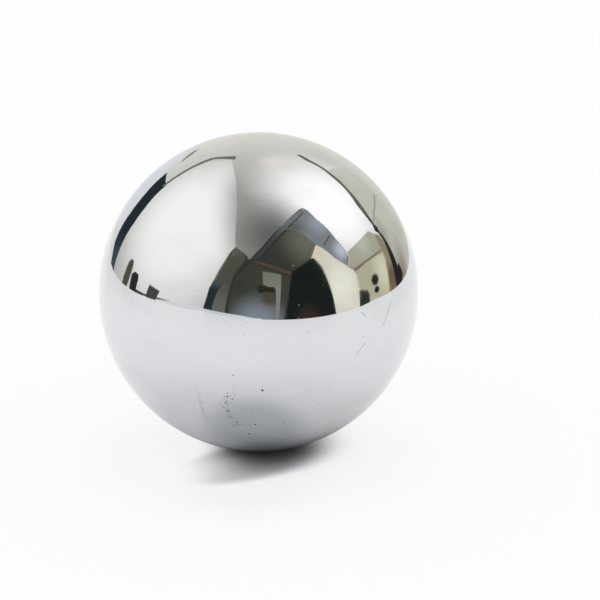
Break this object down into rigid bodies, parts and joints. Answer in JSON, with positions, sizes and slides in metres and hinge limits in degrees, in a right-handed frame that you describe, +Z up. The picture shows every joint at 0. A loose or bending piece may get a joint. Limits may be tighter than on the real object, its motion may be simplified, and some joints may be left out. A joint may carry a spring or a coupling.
{
  "type": "steel ball",
  "caption": "Solid steel ball, ground and lapped to a mirror finish, with small pits and fine scratches; it rolls, bears or weighs down.",
  "frame": {"origin": "centre of the ball", "axes": "+Z up, with the lowest point of the ball at -Z; every axis through the centre is an axis of symmetry"},
  "size_m": [0.1, 0.1, 0.1],
  "materials": {
    "polished_steel": "lapped to a mirror, with small pits, short fine scratches and faint wipe marks"
  },
  "bodies": {
    "root": {"ball": "polished_steel"}
  },
  "joints": []
}
